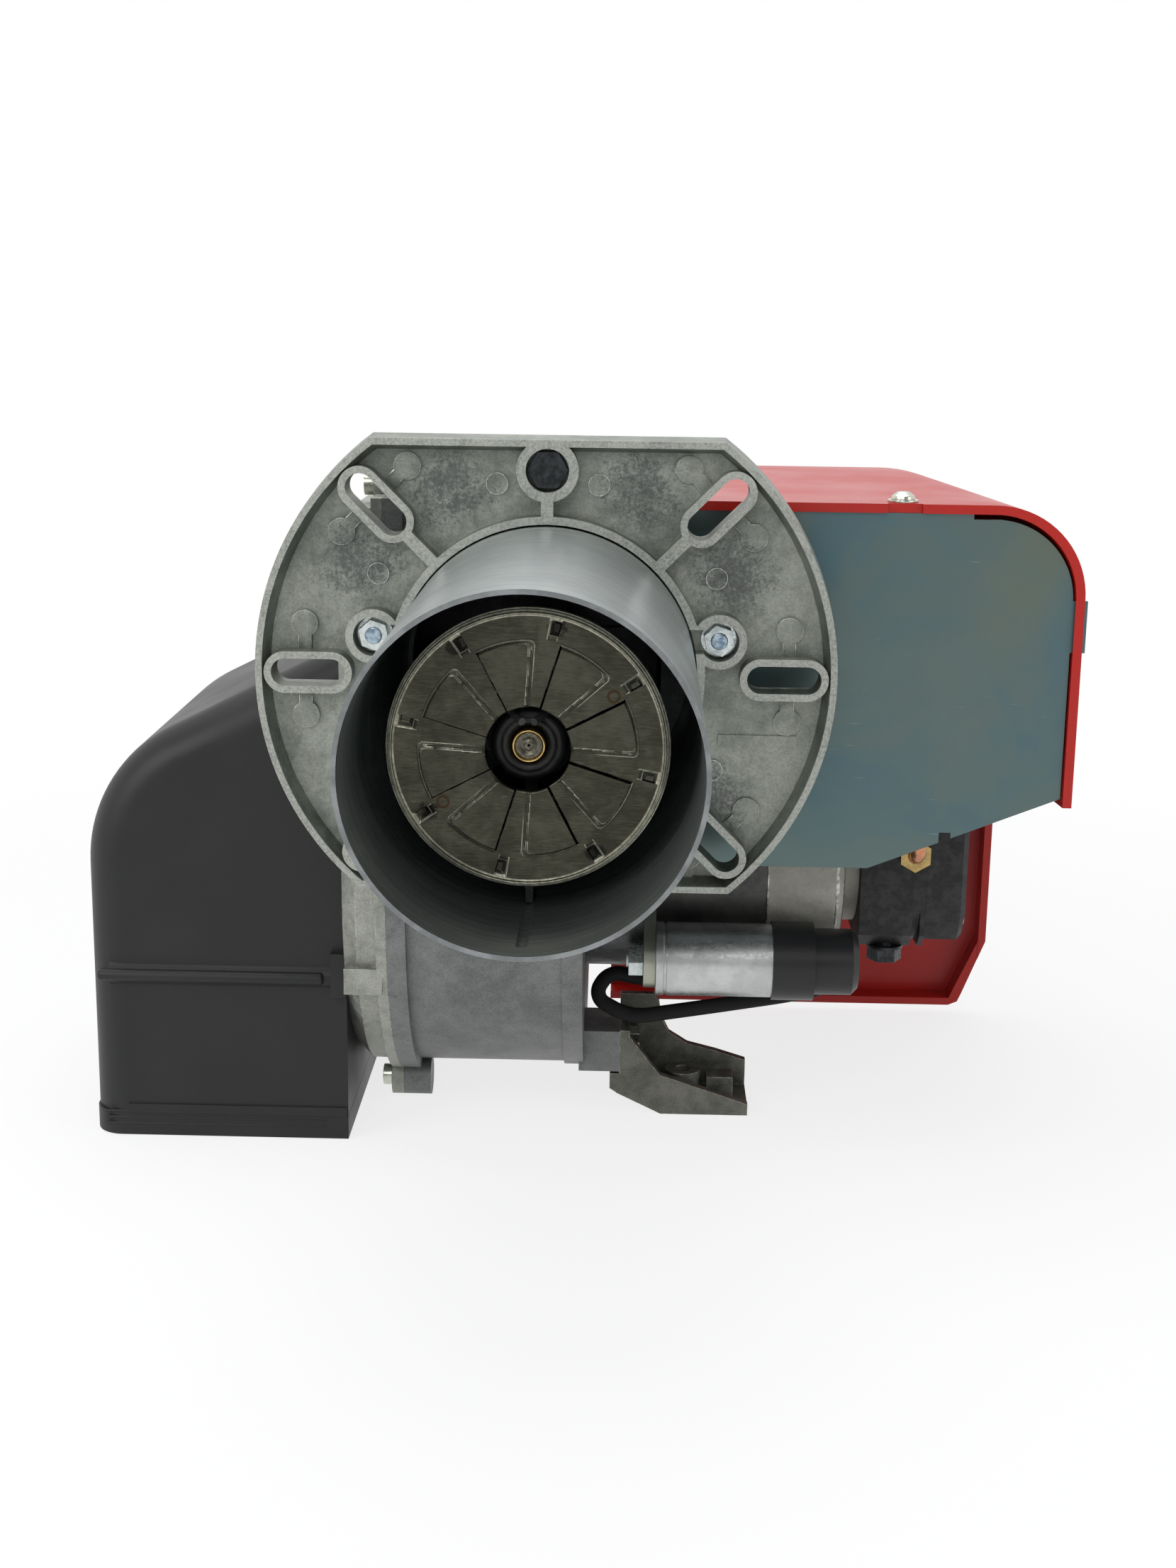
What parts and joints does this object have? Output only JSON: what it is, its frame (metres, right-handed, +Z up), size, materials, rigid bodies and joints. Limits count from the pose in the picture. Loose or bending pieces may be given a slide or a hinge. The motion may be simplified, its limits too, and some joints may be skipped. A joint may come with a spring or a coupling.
{
  "type": "diesel burner",
  "caption": "Oil burner with slotted boiler flange, blast tube and swirl disc, fan casing with air inlet box, motor with oil pump, and a red hood.",
  "frame": {"origin": "where the blast tube's axis meets the boiler side of the mounting flange", "axes": "+X to the side of the motor and pump, +Y along the blast tube away from the boiler, +Z up"},
  "size_m": [0.3865, 0.393, 0.2852],
  "materials": {
    "flange_casting": "die-cast, rough and spotted",
    "tube_steel": "brushed round the tube",
    "disc_steel": "rolled and pressed, slightly blued",
    "casing_casting": "grey sand-cast skin",
    "motor_casting": "light, shot-blasted",
    "dark_steel": "dark grey paint",
    "pump_casting": "dark phosphate",
    "black_plastic": "satin moulded",
    "hood_plastic": "red moulded, satin gloss",
    "zinc_plate": "zinc with a faint yellow chromate",
    "fastener_zinc": "zinc with a faint yellow chromate",
    "fastener_black": "black oxide",
    "copper": "drawn copper",
    "brass": "turned brass",
    "porcelain": "white glazed porcelain",
    "can_aluminium": "drawn, fine matt",
    "black_rubber": "soft black sheath",
    "copper_winding": "varnished winding",
    "bright_steel": "ground",
    "grey_plastic": "moulded grey"
  },
  "bodies": {
    "burner_body": {"mounting_flange": "flange_casting", "flange_studs": "fastener_zinc", "flange_nuts": "fastener_zinc", "flange_bolt": "fastener_black", "blast_tube": "tube_steel", "casing_right": "casing_casting", "casing_left": "casing_casting", "casing_screws": "fastener_zinc", "pan_head_screws": "fastener_zinc", "rear_cover": "casing_casting", "photocell": "black_plastic", "motor_nose": "casing_casting", "motor_screws": "fastener_zinc", "motor_stator": "dark_steel", "motor_windings": "copper_winding", "motor_end_shield": "motor_casting", "motor_bearings": "bright_steel", "pump_hub": "motor_casting", "pump_body": "pump_casting", "pump_cover": "pump_casting", "pump_screws": "fastener_zinc", "pump_drain_plug": "fastener_black", "pump_port_caps": "fastener_zinc", "valve_stem": "brass", "valve_coil": "black_plastic", "oil_pipe": "copper", "pipe_unions": "brass", "capacitor_can": "can_aluminium", "capacitor_cap": "black_plastic", "capacitor_nut": "fastener_zinc", "capacitor_bracket": "zinc_plate", "capacitor_lead": "black_rubber", "air_box": "black_plastic", "air_box_base": "black_plastic", "foot_bracket": "casing_casting", "foot_screws": "fastener_zinc", "hood": "hood_plastic", "hood_plate": "zinc_plate", "electrical_shelf": "zinc_plate", "hood_screw": "fastener_zinc", "control_box_base": "grey_plastic", "control_box": "black_plastic", "ignition_transformer": "grey_plastic"},
    "rotor": {"fan_wheel": "zinc_plate", "motor_shaft": "bright_steel", "rotor_core": "bright_steel", "drive_coupling": "black_plastic", "pump_shaft": "bright_steel"},
    "air_damper": {"damper_flap": "zinc_plate", "damper_shaft": "bright_steel", "damper_knob": "black_plastic"},
    "combustion_head": {"diffuser_disc": "disc_steel", "disc_carrier": "disc_steel", "nozzle": "brass", "nozzle_line": "bright_steel", "electrode_insulators": "porcelain", "electrode_rods": "bright_steel", "electrode_clamp": "zinc_plate"},
    "head_setting_screw": {"head_screw": "brass"},
    "reset_button": {"reset_button": "hood_plastic"}
  },
  "joints": [
    {"name": "rotor_spin", "type": "hinge", "parent": "burner_body", "child": "rotor", "pos_m": [0, 0.122, -0.095], "axis": [1, 0, 0], "continuous": true},
    {"name": "air_damper_turn", "type": "hinge", "parent": "burner_body", "child": "air_damper", "pos_m": [-0.13, 0, -0.148], "axis": [0, 1, 0], "range_deg": [0, 75]},
    {"name": "head_slide", "type": "slide", "parent": "burner_body", "child": "combustion_head", "axis": [0, 1, 0], "range_m": [-0.0075, 0.0075]},
    {"name": "head_screw_turn", "type": "hinge", "parent": "burner_body", "child": "head_setting_screw", "pos_m": [0, 0, 0.024], "axis": [0, 1, 0], "range_deg": [-1800, 1800]},
    {"name": "reset_press", "type": "slide", "parent": "burner_body", "child": "reset_button", "axis": [0, -1, 0], "range_m": [0, 0.003], "stiffness_N_per_m": 600}
  ],
  "couplings": [
    {"joint": "head_screw_turn", "follows": "head_slide", "rad_per_m": 4188.8}
  ]
}
